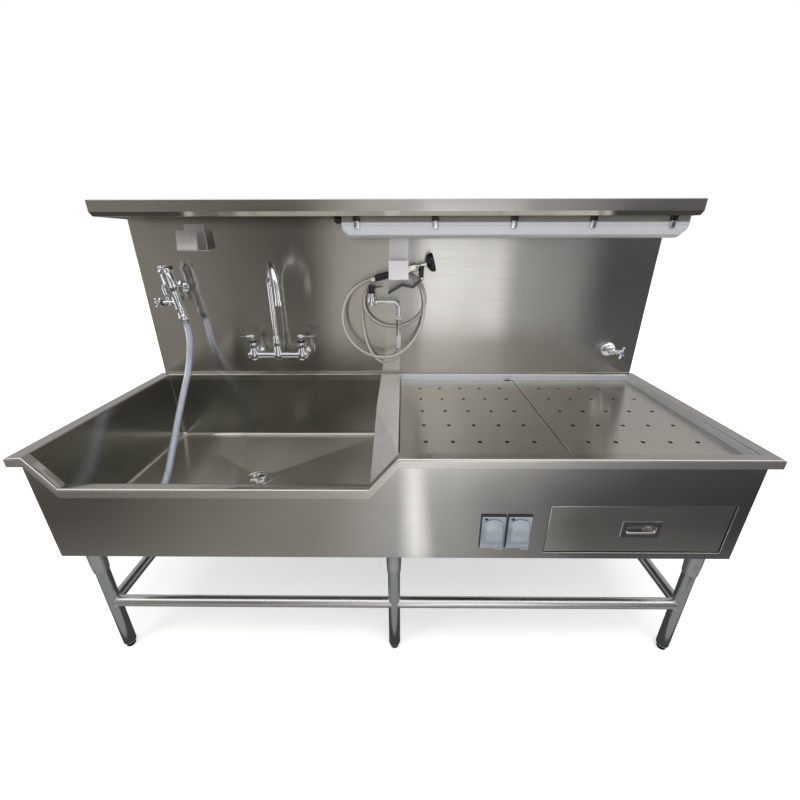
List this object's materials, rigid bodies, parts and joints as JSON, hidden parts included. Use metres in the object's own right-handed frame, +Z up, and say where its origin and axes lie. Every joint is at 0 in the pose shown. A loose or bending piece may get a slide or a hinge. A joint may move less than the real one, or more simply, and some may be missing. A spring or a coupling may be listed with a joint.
{
  "type": "embalming sink station",
  "caption": "Stainless steel embalming station: deep sink with low front edge, drained perforated worktop, back panel with shelf, lamp, faucet, aspirator and hand spray, drawer, tube legs.",
  "frame": {"origin": "on the floor, under the middle of the station's overall box", "axes": "+X along the station to the user's right, +Y from the user towards the back panel, +Z up"},
  "size_m": [2.134, 0.8, 1.546],
  "materials": {
    "brushed_stainless": "brushed sheet and tube",
    "polished_chrome": "polished plating",
    "dark_steel": "dark",
    "grey_plastic": "moulded grey",
    "milky_plastic": "milky, smooth",
    "black_rubber": "black",
    "white_plastic": "moulded white",
    "clear_vinyl": "clear, smooth",
    "steel_hose": "wound metal hose"
  },
  "bodies": {
    "station": {"deck_rim": "brushed_stainless", "sink_bowl": "brushed_stainless", "work_pan": "brushed_stainless", "front_apron": "brushed_stainless", "left_end_panel": "brushed_stainless", "right_end_panel": "brushed_stainless", "back_panel": "brushed_stainless", "top_shelf": "brushed_stainless", "leg_channel_left": "brushed_stainless", "leg_channel_middle": "brushed_stainless", "leg_channel_right": "brushed_stainless", "leg_front_left": "brushed_stainless", "leg_front_middle": "brushed_stainless", "leg_front_right": "brushed_stainless", "leg_rear_left": "brushed_stainless", "leg_rear_middle": "brushed_stainless", "leg_rear_right": "brushed_stainless", "front_rail_left": "brushed_stainless", "front_rail_right": "brushed_stainless", "side_rail_left": "brushed_stainless", "side_rail_right": "brushed_stainless", "drawer_housing": "brushed_stainless", "outlet_plate_left": "grey_plastic", "outlet_plate_right": "grey_plastic", "outlet_socket_left": "white_plastic", "outlet_socket_right": "white_plastic", "sink_drain": "polished_chrome", "light_housing": "grey_plastic", "light_diffuser": "milky_plastic", "light_gland": "black_rubber", "left_hook": "brushed_stainless", "spray_hook": "brushed_stainless", "aspirator_body": "polished_chrome", "aspirator_hose": "clear_vinyl", "faucet_body": "polished_chrome", "spray_valve": "polished_chrome", "spray_hose": "steel_hose", "spray_gun": "black_rubber", "spray_bumper": "black_rubber", "wall_valve_body": "polished_chrome"},
    "drawer_body": {"drawer": "brushed_stainless", "drawer_pull": "polished_chrome"},
    "cover_left_body": {"cover_left": "brushed_stainless"},
    "cover_right_body": {"cover_right": "brushed_stainless"},
    "strainer_body": {"strainer_basket": "polished_chrome"},
    "outlet_lid_left_body": {"outlet_lid_left": "grey_plastic"},
    "outlet_lid_right_body": {"outlet_lid_right": "grey_plastic"},
    "faucet_left_lever": {"faucet_left_handle": "polished_chrome"},
    "faucet_right_lever": {"faucet_right_handle": "polished_chrome"},
    "spout_body": {"faucet_spout": "polished_chrome"},
    "spray_lever": {"spray_valve_handle": "dark_steel"},
    "spray_trigger_body": {"spray_trigger": "grey_plastic"},
    "aspirator_cross": {"aspirator_handle": "polished_chrome"},
    "wall_valve_cross": {"wall_valve_handle": "polished_chrome"},
    "foot_fl": {"foot_front_left": "dark_steel"},
    "foot_fm": {"foot_front_middle": "dark_steel"},
    "foot_fr": {"foot_front_right": "dark_steel"},
    "foot_rl": {"foot_rear_left": "dark_steel"},
    "foot_rm": {"foot_rear_middle": "dark_steel"},
    "foot_rr": {"foot_rear_right": "dark_steel"}
  },
  "joints": [
    {"name": "drawer_slide", "type": "slide", "parent": "station", "child": "drawer_body", "axis": [0, -1, 0], "range_m": [0, 0.4]},
    {"name": "cover_left_lift", "type": "slide", "parent": "station", "child": "cover_left_body", "axis": [0, 0, 1], "range_m": [0, 0.07]},
    {"name": "cover_right_lift", "type": "slide", "parent": "station", "child": "cover_right_body", "axis": [0, 0, 1], "range_m": [0, 0.07]},
    {"name": "strainer_lift", "type": "slide", "parent": "station", "child": "strainer_body", "axis": [0, 0, 1], "range_m": [0, 0.15]},
    {"name": "outlet_lid_left_flip", "type": "hinge", "parent": "station", "child": "outlet_lid_left_body", "pos_m": [0.301, -0.38335, 0.6565], "axis": [-1, 0, 0], "range_deg": [0, 110], "stiffness_Nm_per_rad": 0.03, "springref_deg": -22.92},
    {"name": "outlet_lid_right_flip", "type": "hinge", "parent": "station", "child": "outlet_lid_right_body", "pos_m": [0.38, -0.38335, 0.6565], "axis": [-1, 0, 0], "range_deg": [0, 110], "stiffness_Nm_per_rad": 0.03, "springref_deg": -22.92},
    {"name": "faucet_left_turn", "type": "hinge", "parent": "station", "child": "faucet_left_lever", "pos_m": [-0.6046, 0.28, 1.03], "axis": [0, 0, 1], "range_deg": [0, 90]},
    {"name": "faucet_right_turn", "type": "hinge", "parent": "station", "child": "faucet_right_lever", "pos_m": [-0.4014, 0.28, 1.03], "axis": [0, 0, -1], "range_deg": [0, 90]},
    {"name": "spout_swivel", "type": "hinge", "parent": "station", "child": "spout_body", "pos_m": [-0.503, 0.28, 1.05], "axis": [0, 0, 1], "range_deg": [-116, 64]},
    {"name": "spray_valve_turn", "type": "hinge", "parent": "station", "child": "spray_lever", "pos_m": [-0.1, 0.3, 1.23], "axis": [0, 0, -1], "range_deg": [0, 90]},
    {"name": "spray_trigger_squeeze", "type": "hinge", "parent": "station", "child": "spray_trigger_body", "pos_m": [0.104, 0.2945, 1.276], "axis": [0, 1, 0], "range_deg": [0, 9], "stiffness_Nm_per_rad": 0.3, "springref_deg": -11.46},
    {"name": "aspirator_turn", "type": "hinge", "parent": "station", "child": "aspirator_cross", "pos_m": [-0.955, 0.27, 1.18485], "axis": [-1, 0, 0], "range_deg": [0, 720]},
    {"name": "wall_valve_turn", "type": "hinge", "parent": "station", "child": "wall_valve_cross", "pos_m": [0.95328, 0.28902, 0.972], "axis": [0.6428, -0.766, 0], "range_deg": [0, 720]},
    {"name": "foot_front_left_screw", "type": "hinge", "parent": "station", "child": "foot_fl", "pos_m": [-1.003, -0.3165, 0.02], "axis": [0, 0, 1], "continuous": true},
    {"name": "foot_front_middle_screw", "type": "hinge", "parent": "station", "child": "foot_fm", "pos_m": [0, -0.3165, 0.02], "axis": [0, 0, 1], "continuous": true},
    {"name": "foot_front_right_screw", "type": "hinge", "parent": "station", "child": "foot_fr", "pos_m": [1.003, -0.3165, 0.02], "axis": [0, 0, 1], "continuous": true},
    {"name": "foot_rear_left_screw", "type": "hinge", "parent": "station", "child": "foot_rl", "pos_m": [-1.003, 0.29, 0.02], "axis": [0, 0, 1], "continuous": true},
    {"name": "foot_rear_middle_screw", "type": "hinge", "parent": "station", "child": "foot_rm", "pos_m": [0, 0.29, 0.02], "axis": [0, 0, 1], "continuous": true},
    {"name": "foot_rear_right_screw", "type": "hinge", "parent": "station", "child": "foot_rr", "pos_m": [1.003, 0.29, 0.02], "axis": [0, 0, 1], "continuous": true}
  ]
}
